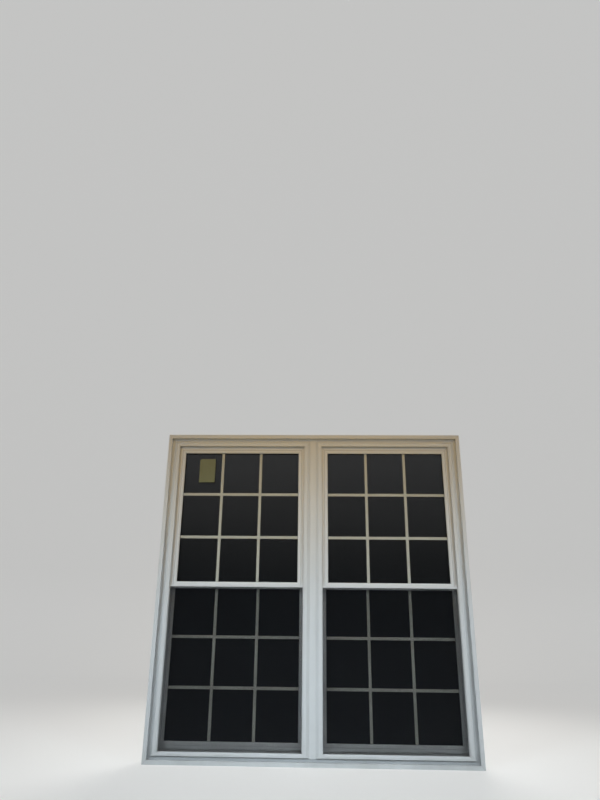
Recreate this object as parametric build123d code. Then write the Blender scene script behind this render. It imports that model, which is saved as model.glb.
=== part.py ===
# Twin double-hung sash window: a welded vinyl frame with a centre mullion, and in each
# unit two tilt-in sashes on spring balances, with an insect screen outside the lower one.
#
# Millimetres. X runs to the right as seen from outside, Y into the room and Z up.
# The origin is at the bottom of the frame, at the middle of its width and depth.
# "inset" is measured inwards from an outer edge, "depth" inwards from the frame's front.
import os

from build123d import *

os.makedirs("parts", exist_ok=True)

# Frame
FRAME_WIDTH = 1829.0
FRAME_HEIGHT = 1836.0
ROOM_FLANGE = 11.0
LIP_WIDTH = 22.0
CHANNEL_DEPTH = 18.0
CHANNEL_WIDTH = 15.0
SLOPE_WIDTH = 17.0
RIM_WIDTH = 19.0
RIM_DEPTH = 3.0
RIM_THICKNESS = 3.0
MULLION_CHANNEL_HALF = 17.0
SEAM_WIDTH = 0.8
SEAM_DEPTH = 0.8
SEAM_OFFSET = 10.0

# Tracks in the jambs, mullion and head
SCREEN_POCKET_DEPTH = 11.0
SCREEN_POCKET_REACH = 11.0
BLIND_STOP_THICKNESS = 2.5
UPPER_TRACK_REACH = 7.0
PARTING_LEG_THICKNESS = 1.6
CHAMBER_WALL = 2.5
CHAMBER_REACH = 23.5
UPPER_CHAMBER_WIDTH = 18.0
LOWER_CHAMBER_WIDTH = 20.0
SLOT_WIDTH = 12.0

# Sill
SILL_RIM_FACE = 11.0
SILL_SCREEN_GROOVE = 4.5
SILL_FLOOR_RISE = 1.5
DAM_RISE = 6.2
DAM_GAP = 1.5

# Screw holes through the side jambs, towards the room from the lower track
SCREW_HOLE_RADIUS = 2.75
SCREW_BEHIND_SASH = 5.0
SCREW_COUNT = 4
SCREW_SPACING = 500.0

# Sashes
SASH_THICKNESS = 32.0
MEMBER_WIDTH = 42.75
HEAD_RAIL_WIDTH = 46.75
MEETING_RAIL_WIDTH = 36.0
BEAD_WIDTH = 19.0
BEAD_THICKNESS = 6.0
BEAD_BEVEL_WIDTH = 7.0
BEAD_EDGE_THICKNESS = 2.5
PANE_THICKNESS = 3.0
PANE_GAP = 10.0
PANE_SETTING_GAP = 3.0
GLASS_BITE = 12.75
INNER_EDGE_CHAMFER = 3.0
TRACK_CLEARANCE = 0.5
SASH_SIDE_CLEARANCE = 1.5
LOWER_SIDE_CLEARANCE = 1.0
SASH_HEAD_CLEARANCE = 2.0
SASH_SILL_GAP = 7.0
SEAL_GAP = 3.0
MEETING_BOTTOM = 905.75

# The lower sashes' feet are rounded outside, so that they can tilt behind the parting leg
FOOT_RADIUS = 15.0
FOOT_CHAMFER = 3.0

# Spacer and the grille between the panes
SPACER_INSET = 2.0
SPACER_WIDTH = 6.5
GRILLE_WIDTH = 16.0
GRILLE_THICKNESS = 5.0
GRILLE_COLUMNS = 3
GRILLE_ROWS = 3

# Balance shoes, coils and pivot bars
PIVOT_HEIGHT = 16.0
PIVOT_RADIUS = 5.0
PIVOT_BORE_CLEARANCE = 0.06
PIVOT_IN_STILE = 30.0
SHOE_CLEARANCE = 0.4
SHOE_BELOW_PIVOT = 20.0
SHOE_ABOVE_PIVOT = 46.0
SHOE_FILLET = 3.0
COIL_ABOVE_PIVOT = 34.0
COIL_RADIUS = 8.0
COIL_BORE = 4.0
COIL_LENGTH = 13.0
COIL_CLEARANCE = 0.3

# Tilt latches
LATCH_LENGTH = 85.0
LATCH_WIDTH = 10.0
LATCH_THICKNESS = 9.5
LATCH_REACH = 8.0
LATCH_TRAVEL = 9.0
LATCH_CLEARANCE = 0.25
LATCH_NOSE_CHAMFER = 3.0
LATCH_GRIP_HEIGHT = 1.2
LATCH_GRIP_LENGTH = 3.0
LATCH_GRIP_PITCH = 6.0
LATCH_GRIP_COUNT = 4
LATCH_GRIP_MARGIN = 1.0

# Locks and keepers
LOCK_POSITIONS = (0.25, 0.76)
LOCK_LENGTH = 70.0
LOCK_WIDTH = 28.0
LOCK_HEIGHT = 11.0
LOCK_FRONT = 57.0
LOCK_AXIS_BEHIND_FRONT = 9.0
LOCK_BACK_WALL = 2.0
LOCK_CORNER_RADIUS = 8.0
LOCK_TOP_CHAMFER = 1.5
LOCK_FLOOR = 1.6
TONGUE_THICKNESS = 4.6
TONGUE_RADIUS = 20.5
TONGUE_HUB_RADIUS = 8.0
TONGUE_TIP_RADIUS = 5.0
TONGUE_REST_ANGLE = 135.0
LOCK_CLEARANCE = 0.4
SPINDLE_RADIUS = 4.5
SPINDLE_CLEARANCE = 0.06
LEVER_HUB_RADIUS = 10.5
LEVER_HUB_HEIGHT = 4.0
LEVER_LENGTH = 37.0
LEVER_WIDTH = 9.0
LEVER_THICKNESS = 4.0
LEVER_TIP_THICKNESS = 3.0
LEVER_TIP_RISE = 4.0
LEVER_BEND = 16.0
LEVER_GAP = 0.4
LEVER_CAP_CHAMFER = 1.0
LEVER_TIP_FLAT = 1.0
KEEPER_LENGTH = 50.0
KEEPER_HEIGHT = 11.0
KEEPER_WIDTH = 9.5
KEEPER_BACK = 2.8
KEEPER_CHAMFER = 2.0

# Finger groove along the lower sashes' bottom rail, on the room side
LIFT_ABOVE_SASH_FOOT = 23.0
LIFT_HEIGHT = 12.0
LIFT_DEPTH = 6.0
LIFT_END_GAP = 12.0

# Screens
SCREEN_RAIL_WIDTH = 12.5
SCREEN_RAIL_CHAMFER = 1.0
SCREEN_RAIL_THICKNESS = 8.0
SCREEN_SEAT = 0.3
SCREEN_SIDE_BITE = 7.4
SCREEN_TOP = 926.0
SCREEN_MESH_THICKNESS = 0.5
SCREEN_MESH_BITE = 5.0

# Pile seal between the meeting rails
SEAL_HEIGHT = 7.0
SEAL_CLEARANCE = 0.3

# How far a cutter or a joining part runs past a face, and how near counts as on a face
OVERRUN = 1.0
NEAR = 0.01

# Worked out from the sizes above
HALF_WIDTH = FRAME_WIDTH / 2
CHANNEL_INSET = LIP_WIDTH + CHANNEL_WIDTH
SLOPE_INSET = CHANNEL_INSET + SLOPE_WIDTH
RIM_INSET = SLOPE_INSET + RIM_WIDTH
RIM_BACK = RIM_DEPTH + RIM_THICKNESS
SCREEN_POCKET_BACK = RIM_BACK + SCREEN_POCKET_DEPTH
UPPER_TRACK_FRONT = SCREEN_POCKET_BACK + BLIND_STOP_THICKNESS
UPPER_SASH_FRONT = UPPER_TRACK_FRONT + TRACK_CLEARANCE
UPPER_TRACK_BACK = UPPER_SASH_FRONT + SASH_THICKNESS + TRACK_CLEARANCE
LOWER_TRACK_FRONT = UPPER_TRACK_BACK + PARTING_LEG_THICKNESS
LOWER_SASH_FRONT = UPPER_SASH_FRONT + SASH_THICKNESS + SEAL_GAP
LOWER_SASH_BACK = LOWER_SASH_FRONT + SASH_THICKNESS
FRAME_DEPTH = LOWER_SASH_BACK + ROOM_FLANGE
HALF_DEPTH = FRAME_DEPTH / 2
SCREW_HOLE_DEPTH = LOWER_SASH_BACK + SCREW_BEHIND_SASH
UPPER_TRACK_INSET = RIM_INSET - UPPER_TRACK_REACH
LOWER_TRACK_INSET = SLOPE_INSET
UPPER_SASH_MIDDLE = UPPER_SASH_FRONT + SASH_THICKNESS / 2
LOWER_SASH_MIDDLE = LOWER_SASH_FRONT + SASH_THICKNESS / 2
SCREEN_FRONT = SCREEN_POCKET_BACK - SCREEN_SEAT - SCREEN_RAIL_THICKNESS
SCREEN_BACK = SCREEN_FRONT + SCREEN_RAIL_THICKNESS
MULLION_SLOPE_HALF = MULLION_CHANNEL_HALF + SLOPE_WIDTH
MULLION_RIM_HALF = MULLION_SLOPE_HALF + RIM_WIDTH
UNIT_CENTRE = (HALF_WIDTH - RIM_INSET + MULLION_RIM_HALF) / 2
UNIT_HALF_OPENING = (HALF_WIDTH - RIM_INSET - MULLION_RIM_HALF) / 2
UPPER_SASH_HALF = UNIT_HALF_OPENING + UPPER_TRACK_REACH - SASH_SIDE_CLEARANCE
LOWER_SASH_HALF = UNIT_HALF_OPENING + RIM_WIDTH - LOWER_SIDE_CLEARANCE
SILL_RIM_TOP = SLOPE_INSET
DAM_TOP = SILL_RIM_TOP + DAM_RISE
DAM_FRONT = LOWER_SASH_BACK + DAM_GAP
LOWER_SASH_BOTTOM = SILL_RIM_TOP + SASH_SILL_GAP
UPPER_SASH_TOP = FRAME_HEIGHT - UPPER_TRACK_INSET - SASH_HEAD_CLEARANCE
MEETING_TOP = MEETING_BOTTOM + MEETING_RAIL_WIDTH
PIVOT_LEVEL = LOWER_SASH_BOTTOM + PIVOT_HEIGHT
IGU_BACK = BEAD_THICKNESS + 2 * PANE_THICKNESS + PANE_GAP
LOCK_AXIS_DEPTH = LOCK_FRONT + LOCK_AXIS_BEHIND_FRONT


def at(depth):
    """Y of a depth behind the frame's front."""
    return depth - HALF_DEPTH


def block(x0, x1, depth0, depth1, z0, z1):
    """A box between two corners."""
    centre = ((x0 + x1) / 2, (at(depth0) + at(depth1)) / 2, (z0 + z1) / 2)
    return Pos(*centre) * Box(x1 - x0, depth1 - depth0, z1 - z0)


def slab(outline, depth0, depth1):
    """A polygon drawn on the window's face, (x, z), and carried from one depth to another."""
    face = make_face(Polyline([(x, 0, z) for x, z in outline], close=True).edges())
    return Pos(0, at(depth0), 0) * extrude(face, amount=depth1 - depth0, dir=(0, 1, 0))


def upright(section, z0, z1):
    """A section drawn in plan, (x, depth), and carried up from z0 to z1."""
    face = make_face(Polyline([(x, at(depth), z0) for x, depth in section], close=True).edges())
    return extrude(face, amount=z1 - z0, dir=(0, 0, 1))


def level(section, x0, x1):
    """A section drawn from the side, (z, depth), and carried across from x0 to x1."""
    face = make_face(Polyline([(x0, at(depth), z) for z, depth in section], close=True).edges())
    return extrude(face, amount=x1 - x0, dir=(1, 0, 0))


def rod_x(x0, x1, depth, z, radius):
    """A round rod along X."""
    return Pos((x0 + x1) / 2, at(depth), z) * Rot(0, 90, 0) * Cylinder(radius, x1 - x0)


def rod_z(x, depth, z0, z1, radius):
    """A round rod along Z."""
    return Pos(x, at(depth), (z0 + z1) / 2) * Cylinder(radius, z1 - z0)


def one(shape):
    """The single solid of a shape."""
    solids = shape.solids()
    if len(solids) != 1:
        raise ValueError(f"expected one solid, got {len(solids)}")
    return solids[0]


def save(name, *solids):
    """Write one sub-part, of one solid or of several like ones."""
    whole = Compound(children=[one(solid) for solid in solids])
    whole.label = name
    export_step(whole, f"parts/{name}.step")


def outer_profile():
    """The frame's extrusion as (inset, depth), from the lip at the front round to the room side."""
    pocket_inset = RIM_INSET - SCREEN_POCKET_REACH
    return [
        (0, 0),
        (LIP_WIDTH, 0),
        (LIP_WIDTH, CHANNEL_DEPTH),
        (CHANNEL_INSET, CHANNEL_DEPTH),
        (SLOPE_INSET, RIM_DEPTH),
        (RIM_INSET, RIM_DEPTH),
        (RIM_INSET, RIM_BACK),
        (pocket_inset, RIM_BACK),
        (pocket_inset, SCREEN_POCKET_BACK),
        (RIM_INSET, SCREEN_POCKET_BACK),
        (RIM_INSET, UPPER_TRACK_FRONT),
        (UPPER_TRACK_INSET, UPPER_TRACK_FRONT),
        (UPPER_TRACK_INSET, UPPER_TRACK_BACK),
        (RIM_INSET, UPPER_TRACK_BACK),
        (RIM_INSET, LOWER_TRACK_FRONT),
        (LOWER_TRACK_INSET, LOWER_TRACK_FRONT),
        (LOWER_TRACK_INSET, FRAME_DEPTH),
        (0, FRAME_DEPTH),
    ]


def sill_profile():
    """The sill's extrusion as (z, depth): front channel, rim, screen groove, sloped floor and dam."""
    groove_floor = SILL_RIM_TOP - SILL_SCREEN_GROOVE
    return [
        (0, 0),
        (LIP_WIDTH, 0),
        (LIP_WIDTH, CHANNEL_DEPTH),
        (CHANNEL_INSET, CHANNEL_DEPTH),
        (SILL_RIM_TOP - SILL_RIM_FACE, RIM_DEPTH),
        (SILL_RIM_TOP, RIM_DEPTH),
        (SILL_RIM_TOP, SCREEN_FRONT - SCREEN_SEAT),
        (groove_floor, SCREEN_FRONT - SCREEN_SEAT),
        (groove_floor, SCREEN_POCKET_BACK),
        (SILL_RIM_TOP, SCREEN_POCKET_BACK),
        (SILL_RIM_TOP, LOWER_TRACK_FRONT),
        (SILL_RIM_TOP + SILL_FLOOR_RISE, DAM_FRONT),
        (DAM_TOP, DAM_FRONT),
        (DAM_TOP, FRAME_DEPTH),
        (0, FRAME_DEPTH),
    ]


def chamber(floor_x, outward, middle, width):
    """A balance chamber behind a track floor, with its slot, as a cutter.

    outward is the way, +1 or -1 along X, from the track floor into the extrusion."""
    inner = floor_x + outward * CHAMBER_WALL
    far = inner + outward * (CHAMBER_REACH - CHAMBER_WALL)
    z0 = SILL_RIM_TOP / 2
    z1 = FRAME_HEIGHT - UPPER_TRACK_INSET / 2
    room = block(min(inner, far), max(inner, far), middle - width / 2, middle + width / 2, z0, z1)
    slot_near = floor_x - outward * OVERRUN
    slot_far = inner + outward * OVERRUN
    slot = block(
        min(slot_near, slot_far),
        max(slot_near, slot_far),
        middle - SLOT_WIDTH / 2,
        middle + SLOT_WIDTH / 2,
        z0,
        z1,
    )
    return room + slot


def chambers(upper_floor_x, lower_floor_x, outward):
    """Both balance chambers beside one edge of a unit."""
    upper = chamber(upper_floor_x, outward, UPPER_SASH_MIDDLE, UPPER_CHAMBER_WIDTH)
    lower = chamber(lower_floor_x, outward, LOWER_SASH_MIDDLE, LOWER_CHAMBER_WIDTH)
    return upper + lower


# Frame: sill
# The sill runs under everything. Its ends are mitred, and it is notched for the mullion.
sill_outline = [
    (-HALF_WIDTH, 0),
    (HALF_WIDTH, 0),
    (HALF_WIDTH - SLOPE_INSET, SLOPE_INSET),
    (HALF_WIDTH - SLOPE_INSET, DAM_TOP),
    (MULLION_SLOPE_HALF, DAM_TOP),
    (MULLION_SLOPE_HALF, SLOPE_INSET),
    (MULLION_CHANNEL_HALF, CHANNEL_INSET),
    (-MULLION_CHANNEL_HALF, CHANNEL_INSET),
    (-MULLION_SLOPE_HALF, SLOPE_INSET),
    (-MULLION_SLOPE_HALF, DAM_TOP),
    (-HALF_WIDTH + SLOPE_INSET, DAM_TOP),
    (-HALF_WIDTH + SLOPE_INSET, SLOPE_INSET),
]
sill = one(level(sill_profile(), -HALF_WIDTH, HALF_WIDTH) & slab(sill_outline, 0, FRAME_DEPTH))
save("frame_sill", sill)

# Frame: head
head_outline = [
    (-HALF_WIDTH, FRAME_HEIGHT),
    (HALF_WIDTH, FRAME_HEIGHT),
    (HALF_WIDTH - RIM_INSET, FRAME_HEIGHT - RIM_INSET),
    (MULLION_RIM_HALF, FRAME_HEIGHT - RIM_INSET),
    (MULLION_CHANNEL_HALF, FRAME_HEIGHT - CHANNEL_INSET),
    (-MULLION_CHANNEL_HALF, FRAME_HEIGHT - CHANNEL_INSET),
    (-MULLION_RIM_HALF, FRAME_HEIGHT - RIM_INSET),
    (-HALF_WIDTH + RIM_INSET, FRAME_HEIGHT - RIM_INSET),
]
head_section = [(FRAME_HEIGHT - inset, depth) for inset, depth in outer_profile()]
head_bar = level(head_section, -HALF_WIDTH, HALF_WIDTH)
head = one(head_bar & slab(head_outline, 0, FRAME_DEPTH))
save("frame_head", head)

# Frame: side jambs
# Each jamb meets the head and the sill in a mitre, and its inner legs stand on the sill.
first_screw = FRAME_HEIGHT / 2 - SCREW_SPACING * (SCREW_COUNT - 1) / 2
for side_name, side in (("left", -1), ("right", 1)):
    section = [(side * (HALF_WIDTH - inset), depth) for inset, depth in outer_profile()]
    outline = [
        (side * HALF_WIDTH, 0),
        (side * HALF_WIDTH, FRAME_HEIGHT),
        (side * (HALF_WIDTH - RIM_INSET), FRAME_HEIGHT - RIM_INSET),
        (side * (HALF_WIDTH - RIM_INSET), SILL_RIM_TOP),
        (side * (HALF_WIDTH - SLOPE_INSET), SILL_RIM_TOP),
    ]
    jamb = upright(section, 0, FRAME_HEIGHT) & slab(outline, 0, FRAME_DEPTH)
    upper_floor = side * (HALF_WIDTH - UPPER_TRACK_INSET)
    lower_floor = side * (HALF_WIDTH - LOWER_TRACK_INSET)
    jamb = one(jamb - chambers(upper_floor, lower_floor, side))
    outside_x = side * (HALF_WIDTH + OVERRUN)
    track_x = side * (HALF_WIDTH - LOWER_TRACK_INSET - OVERRUN)
    for number in range(SCREW_COUNT):
        z = first_screw + number * SCREW_SPACING
        jamb = jamb - rod_x(
            min(outside_x, track_x), max(outside_x, track_x), SCREW_HOLE_DEPTH, z, SCREW_HOLE_RADIUS
        )
    save(f"frame_jamb_{side_name}", jamb)

# Frame: mullion
# The same edges as a jamb, back to back on a recessed floor with a thin seam.
mullion_shift = MULLION_RIM_HALF - RIM_INSET
mullion_edge = [(inset + mullion_shift, depth) for inset, depth in outer_profile()[3:-1]]
mullion_section = mullion_edge + [(-x, depth) for x, depth in reversed(mullion_edge)]
mullion_outline = []
for side in (1, -1):
    edge = [
        (side * MULLION_CHANNEL_HALF, FRAME_HEIGHT - CHANNEL_INSET),
        (side * MULLION_RIM_HALF, FRAME_HEIGHT - RIM_INSET),
        (side * MULLION_RIM_HALF, SILL_RIM_TOP),
        (side * MULLION_SLOPE_HALF, SILL_RIM_TOP),
        (side * MULLION_CHANNEL_HALF, CHANNEL_INSET),
    ]
    mullion_outline += edge if side == 1 else edge[::-1]
mullion = upright(mullion_section, 0, FRAME_HEIGHT) & slab(mullion_outline, 0, FRAME_DEPTH)
for side in (1, -1):
    upper_floor = side * (MULLION_RIM_HALF - UPPER_TRACK_REACH)
    lower_floor = side * (MULLION_RIM_HALF - RIM_WIDTH)
    mullion = mullion - chambers(upper_floor, lower_floor, -side)
seam = block(
    SEAM_OFFSET - SEAM_WIDTH / 2,
    SEAM_OFFSET + SEAM_WIDTH / 2,
    CHANNEL_DEPTH - OVERRUN,
    CHANNEL_DEPTH + SEAM_DEPTH,
    0,
    FRAME_HEIGHT,
)
mullion = one(mullion - seam)
save("frame_mullion", mullion)


def inside(rectangle, inset):
    """A rectangle (x0, x1, z0, z1) drawn in on all four sides."""
    x0, x1, z0, z1 = rectangle
    return x0 + inset, x1 - inset, z0 + inset, z1 - inset


def ring(outer, inner, depth0, depth1):
    """The part of one rectangle that lies outside another, between two depths."""
    x0, x1, z0, z1 = outer
    hole_x0, hole_x1, hole_z0, hole_z1 = inner
    hole = block(hole_x0, hole_x1, depth0 - OVERRUN, depth1 + OVERRUN, hole_z0, hole_z1)
    return block(x0, x1, depth0, depth1, z0, z1) - hole


def mitred_strips(section, x0, x1, z0, z1):
    """Four strips round a rectangle, mitred at its corners.

    The section is (inset, depth) from the rectangle's edge."""
    reach = max(inset for inset, depth in section)
    depths = [depth for inset, depth in section]
    front, back = min(depths), max(depths)
    bottom = level([(z0 + inset, depth) for inset, depth in section], x0, x1)
    top = level([(z1 - inset, depth) for inset, depth in section], x0, x1)
    left = upright([(x0 + inset, depth) for inset, depth in section], z0, z1)
    right = upright([(x1 - inset, depth) for inset, depth in section], z0, z1)
    low = [(x0, z0), (x1, z0), (x1 - reach, z0 + reach), (x0 + reach, z0 + reach)]
    high = [(x0, z1), (x1, z1), (x1 - reach, z1 - reach), (x0 + reach, z1 - reach)]
    near = [(x0, z0), (x0, z1), (x0 + reach, z1 - reach), (x0 + reach, z0 + reach)]
    far = [(x1, z0), (x1, z1), (x1 - reach, z1 - reach), (x1 - reach, z0 + reach)]
    pairs = ((bottom, low), (top, high), (left, near), (right, far))
    return [one(bar & slab(outline, front, back)) for bar, outline in pairs]


def sash_frame(outer, daylight, front):
    """The welded sash: stiles and rails with a rebate for the glass and a leg on the room side."""
    back = front + SASH_THICKNESS
    leg_front = front + IGU_BACK
    glass = inside(daylight, -GLASS_BITE)
    body = ring(outer, inside(daylight, -BEAD_WIDTH), front, front + BEAD_THICKNESS)
    body += ring(outer, inside(glass, -PANE_SETTING_GAP), front + BEAD_THICKNESS, leg_front)
    body += ring(outer, daylight, leg_front, back)
    x0, x1, z0, z1 = inside(outer, OVERRUN)
    inner_edges = [
        edge
        for edge in body.edges()
        if abs(edge.center().Y - at(back)) < NEAR
        and x0 < edge.center().X < x1
        and z0 < edge.center().Z < z1
    ]
    return chamfer(inner_edges, INNER_EDGE_CHAMFER)


def glazing(daylight, front, prefix):
    """The beads, panes, spacer and grille of one sash."""
    bead = [
        (0, front),
        (BEAD_WIDTH - BEAD_BEVEL_WIDTH, front),
        (BEAD_WIDTH, front + BEAD_THICKNESS - BEAD_EDGE_THICKNESS),
        (BEAD_WIDTH, front + BEAD_THICKNESS),
        (0, front + BEAD_THICKNESS),
    ]
    save(f"{prefix}_glazing_beads", *mitred_strips(bead, *inside(daylight, -BEAD_WIDTH)))
    glass = inside(daylight, -GLASS_BITE)
    x0, x1, z0, z1 = glass
    outer_front = front + BEAD_THICKNESS
    gap_front = outer_front + PANE_THICKNESS
    gap_back = gap_front + PANE_GAP
    outer_pane = block(x0, x1, outer_front, gap_front, z0, z1)
    inner_pane = block(x0, x1, gap_back, gap_back + PANE_THICKNESS, z0, z1)
    save(f"{prefix}_glass", outer_pane, inner_pane)
    spacer = inside(glass, SPACER_INSET)
    between = inside(spacer, SPACER_WIDTH)
    save(f"{prefix}_spacer", ring(spacer, between, gap_front, gap_back))
    bar_x0, bar_x1, bar_z0, bar_z1 = between
    middle = (gap_front + gap_back) / 2
    bar_front = middle - GRILLE_THICKNESS / 2
    bar_back = middle + GRILLE_THICKNESS / 2
    day_x0, day_x1, day_z0, day_z1 = daylight
    half = GRILLE_WIDTH / 2
    bars = []
    for column in range(1, GRILLE_COLUMNS):
        x = day_x0 + (day_x1 - day_x0) * column / GRILLE_COLUMNS
        bars.append(block(x - half, x + half, bar_front, bar_back, bar_z0, bar_z1))
    for row in range(1, GRILLE_ROWS):
        z = day_z0 + (day_z1 - day_z0) * row / GRILLE_ROWS
        bars.append(block(bar_x0, bar_x1, bar_front, bar_back, z - half, z + half))
    grille = bars[0]
    for bar in bars[1:]:
        grille = grille + bar
    save(f"{prefix}_grille", grille)


def latch_groove(edge_x, inward, top, middle):
    """The groove for a tilt latch in the top of a sash, as a cutter."""
    width = LATCH_WIDTH + 2 * LATCH_CLEARANCE
    floor = top - LATCH_THICKNESS - LATCH_CLEARANCE
    far = edge_x + inward * (LATCH_LENGTH - LATCH_REACH + LATCH_TRAVEL + LATCH_CLEARANCE)
    near = edge_x - inward * OVERRUN
    return block(min(near, far), max(near, far), middle - width / 2, middle + width / 2, floor,
                 top + OVERRUN)


def tilt_latch(edge_x, inward, top, middle):
    """A sprung latch: a flat bar with a chamfered nose and ribs for a thumb."""
    nose = edge_x - inward * LATCH_REACH
    tail = nose + inward * LATCH_LENGTH
    half = LATCH_WIDTH / 2
    shoulder = nose + inward * LATCH_NOSE_CHAMFER
    outline = [
        (nose, middle - half),
        (tail, middle - half),
        (tail, middle + half),
        (shoulder, middle + half),
        (nose, middle + half - LATCH_NOSE_CHAMFER),
    ]
    latch = upright(outline, top - LATCH_THICKNESS, top)
    for number in range(LATCH_GRIP_COUNT):
        x = tail - inward * (LATCH_GRIP_LENGTH * 2 + number * LATCH_GRIP_PITCH)
        x0 = min(x, x - inward * LATCH_GRIP_LENGTH)
        rib_half = half - LATCH_GRIP_MARGIN
        rib = block(x0, x0 + LATCH_GRIP_LENGTH, middle - rib_half, middle + rib_half, top - OVERRUN,
                    top + LATCH_GRIP_HEIGHT)
        latch = latch + rib
    return latch


def pivot_bar(edge_x, inward, depth, z, reach):
    """A pivot bar from inside the stile out to the far wall of the shoe."""
    inner_end = edge_x + inward * PIVOT_IN_STILE
    outer_end = edge_x - inward * reach
    return rod_x(min(inner_end, outer_end), max(inner_end, outer_end), depth, z, PIVOT_RADIUS)


def balance_shoe(floor_x, outward, middle, width, pivot_z):
    """A balance shoe in its chamber: a block with a bore for the pivot bar and a cradle for the coil."""
    x0 = floor_x + outward * (CHAMBER_WALL + SHOE_CLEARANCE)
    x1 = floor_x + outward * (CHAMBER_REACH - SHOE_CLEARANCE)
    half = width / 2 - SHOE_CLEARANCE
    z0, z1 = pivot_z - SHOE_BELOW_PIVOT, pivot_z + SHOE_ABOVE_PIVOT
    shoe = block(min(x0, x1), max(x0, x1), middle - half, middle + half, z0, z1)
    shoe = fillet(shoe.edges().filter_by(Axis.X), SHOE_FILLET)
    bore = PIVOT_RADIUS + PIVOT_BORE_CLEARANCE
    shoe = shoe - rod_x(min(x0, x1) - OVERRUN, max(x0, x1) + OVERRUN, middle, pivot_z, bore)
    coil_z = pivot_z + COIL_ABOVE_PIVOT
    cradle_radius = COIL_RADIUS + COIL_CLEARANCE
    start = x0 - outward * OVERRUN
    end = x0 + outward * (COIL_LENGTH + COIL_CLEARANCE)
    shoe = shoe - rod_x(min(start, end), max(start, end), middle, coil_z, cradle_radius)
    return shoe


def balance_coil(floor_x, outward, middle, pivot_z):
    """The rolled spring of a balance, in the shoe's cradle."""
    start = floor_x + outward * (CHAMBER_WALL + SHOE_CLEARANCE + COIL_CLEARANCE)
    end = start + outward * (COIL_LENGTH - COIL_CLEARANCE)
    z = pivot_z + COIL_ABOVE_PIVOT
    low, high = min(start, end), max(start, end)
    roll = rod_x(low, high, middle, z, COIL_RADIUS)
    return roll - rod_x(low - OVERRUN, high + OVERRUN, middle, z, COIL_BORE)


def lock_housing(x, top):
    """A lock's base on the top rail, pocketed for the cam and open towards the upper sash."""
    back = LOCK_FRONT + LOCK_WIDTH
    base = block(x - LOCK_LENGTH / 2, x + LOCK_LENGTH / 2, LOCK_FRONT, back, top, top + LOCK_HEIGHT)
    base = fillet(base.edges().filter_by(Axis.Z), LOCK_CORNER_RADIUS)
    base = chamfer(base.faces().sort_by(Axis.Z)[-1].edges(), LOCK_TOP_CHAMFER)
    pocket_z0 = top + LOCK_FLOOR
    pocket_z1 = pocket_z0 + TONGUE_THICKNESS + 2 * LOCK_CLEARANCE
    sweep = rod_z(x, LOCK_AXIS_DEPTH, pocket_z0, pocket_z1, TONGUE_RADIUS + LOCK_CLEARANCE)
    open_part = block(x - LOCK_LENGTH, x + LOCK_LENGTH, LOCK_FRONT - TONGUE_RADIUS, back - LOCK_BACK_WALL,
                      pocket_z0, pocket_z1)
    base = base - (sweep & open_part)
    bore = SPINDLE_RADIUS + SPINDLE_CLEARANCE
    return base - rod_z(x, LOCK_AXIS_DEPTH, pocket_z0, top + LOCK_HEIGHT + OVERRUN, bore)


def lock_cam(x, top):
    """The turning piece of a lock: tongue below, spindle, and the lever on top."""
    z0 = top + LOCK_FLOOR + LOCK_CLEARANCE
    z1 = z0 + TONGUE_THICKNESS
    tip_x = TONGUE_RADIUS - TONGUE_TIP_RADIUS
    tongue = upright(
        [
            (0, HALF_DEPTH - TONGUE_HUB_RADIUS),
            (tip_x, HALF_DEPTH - TONGUE_TIP_RADIUS),
            (tip_x, HALF_DEPTH + TONGUE_TIP_RADIUS),
            (0, HALF_DEPTH + TONGUE_HUB_RADIUS),
        ],
        z0,
        z1,
    )
    tongue += rod_z(tip_x, HALF_DEPTH, z0, z1, TONGUE_TIP_RADIUS)
    tongue = Pos(x, at(LOCK_AXIS_DEPTH), 0) * Rot(0, 0, TONGUE_REST_ANGLE) * tongue
    hub = rod_z(x, LOCK_AXIS_DEPTH, z0, z1, TONGUE_HUB_RADIUS)
    lever_z0 = top + LOCK_HEIGHT + LEVER_GAP
    lever_z1 = lever_z0 + LEVER_HUB_HEIGHT
    spindle = rod_z(x, LOCK_AXIS_DEPTH, z0, lever_z0 + OVERRUN, SPINDLE_RADIUS)
    cap = rod_z(x, LOCK_AXIS_DEPTH, lever_z0, lever_z1, LEVER_HUB_RADIUS)
    cap = chamfer(cap.edges().sort_by(Axis.Z)[-1], LEVER_CAP_CHAMFER)
    side_view = [
        (x, lever_z0),
        (x + LEVER_BEND, lever_z0),
        (x + LEVER_LENGTH, lever_z0 + LEVER_TIP_RISE),
        (x + LEVER_LENGTH, lever_z0 + LEVER_TIP_RISE + LEVER_TIP_THICKNESS),
        (x + LEVER_BEND, lever_z0 + LEVER_THICKNESS),
        (x, lever_z0 + LEVER_THICKNESS),
    ]
    half = LEVER_WIDTH / 2
    lever = slab(side_view, LOCK_AXIS_DEPTH - half, LOCK_AXIS_DEPTH + half)
    tip_edges = lever.edges().filter_by(Axis.Z).sort_by(Axis.X)[-2:]
    lever = fillet(tip_edges, half - LEVER_TIP_FLAT / 2)
    return tongue + hub + spindle + cap + lever


def keeper(x, top, back):
    """A keeper: a block on the upper sash's meeting rail with a lip over the cam's tongue."""
    front = back - KEEPER_WIDTH
    body = block(x - KEEPER_LENGTH / 2, x + KEEPER_LENGTH / 2, front, back, top, top + KEEPER_HEIGHT)
    body = chamfer(body.edges().filter_by(Axis.Z), KEEPER_CHAMFER)
    slot_z0 = top + LOCK_FLOOR
    slot_z1 = slot_z0 + TONGUE_THICKNESS + 2 * LOCK_CLEARANCE
    slot = block(x - KEEPER_LENGTH, x + KEEPER_LENGTH, front + KEEPER_BACK, back + OVERRUN, slot_z0,
                 slot_z1)
    return body - slot


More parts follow.
